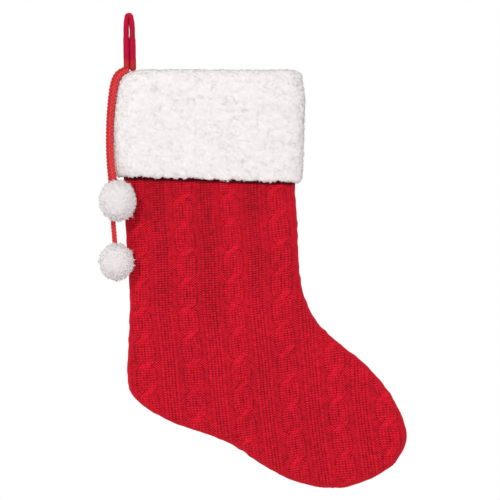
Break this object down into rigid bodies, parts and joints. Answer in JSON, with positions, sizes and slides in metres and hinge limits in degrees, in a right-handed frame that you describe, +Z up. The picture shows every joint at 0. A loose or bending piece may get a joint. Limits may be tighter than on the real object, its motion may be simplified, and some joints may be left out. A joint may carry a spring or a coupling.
{
  "type": "hanging stocking",
  "caption": "Cable-knit hanging stocking with a turned-down fleece cuff, a velvet hanging loop and yarn pompoms on cords.",
  "frame": {"origin": "inside of the loop's crown, where the hook carries the stocking", "axes": "+Z up, +X towards the toe, -Y to the front"},
  "size_m": [0.3261, 0.0637, 0.5071],
  "materials": {
    "knit_yarn": "cable-knitted acrylic yarn",
    "fleece": "curly sherpa fleece",
    "lining": "plain woven lining",
    "strap_velvet": "soft velvet strap",
    "cord_yarn": "chain-stitched yarn cord",
    "pompom_yarn": "cut yarn ball",
    "sewing_thread": "sewing thread",
    "white_thread": "sewing thread"
  },
  "bodies": {
    "hanger": {"hanging_loop": "strap_velvet"},
    "stocking": {"loop_tail": "strap_velvet", "loop_bartack": "sewing_thread", "knit_front": "knit_yarn", "knit_back": "knit_yarn", "knit_seam_thread": "sewing_thread", "lining_front": "lining", "lining_back": "lining", "lining_seam_thread": "sewing_thread", "cuff_front": "fleece", "cuff_back": "fleece", "cuff_seam_heel_side": "white_thread", "cuff_seam_toe_side": "white_thread", "cuff_join_thread": "white_thread", "cord_short_root": "cord_yarn", "cord_long_root": "cord_yarn", "cord_tack": "sewing_thread"},
    "short_strand": {"cord_short": "cord_yarn"},
    "long_strand": {"cord_long": "cord_yarn"},
    "upper_ball": {"pompom_upper": "pompom_yarn", "pompom_upper_tie": "white_thread"},
    "lower_ball": {"pompom_lower": "pompom_yarn", "pompom_lower_tie": "white_thread"}
  },
  "joints": [
    {"name": "stocking_swing", "type": "hinge", "parent": "hanger", "child": "stocking", "pos_m": [0, 0, -0.0492], "axis": [1, 0, 0], "range_deg": [-60, 60]},
    {"name": "short_cord_swing", "type": "hinge", "parent": "stocking", "child": "short_strand", "pos_m": [-0.0127, -0.0054, -0.069], "axis": [0, 1, 0], "range_deg": [0, 75]},
    {"name": "long_cord_swing", "type": "hinge", "parent": "stocking", "child": "long_strand", "pos_m": [-0.017, 0.005, -0.0655], "axis": [0, 1, 0], "range_deg": [0, 75]},
    {"name": "upper_pompom_nod", "type": "hinge", "parent": "short_strand", "child": "upper_ball", "pos_m": [-0.0122, -0.0242, -0.184], "axis": [1, 0, 0], "range_deg": [-40, 0]},
    {"name": "lower_pompom_nod", "type": "hinge", "parent": "long_strand", "child": "lower_ball", "pos_m": [-0.0138, -0.0218, -0.2496], "axis": [1, 0, 0], "range_deg": [-40, 0]}
  ]
}
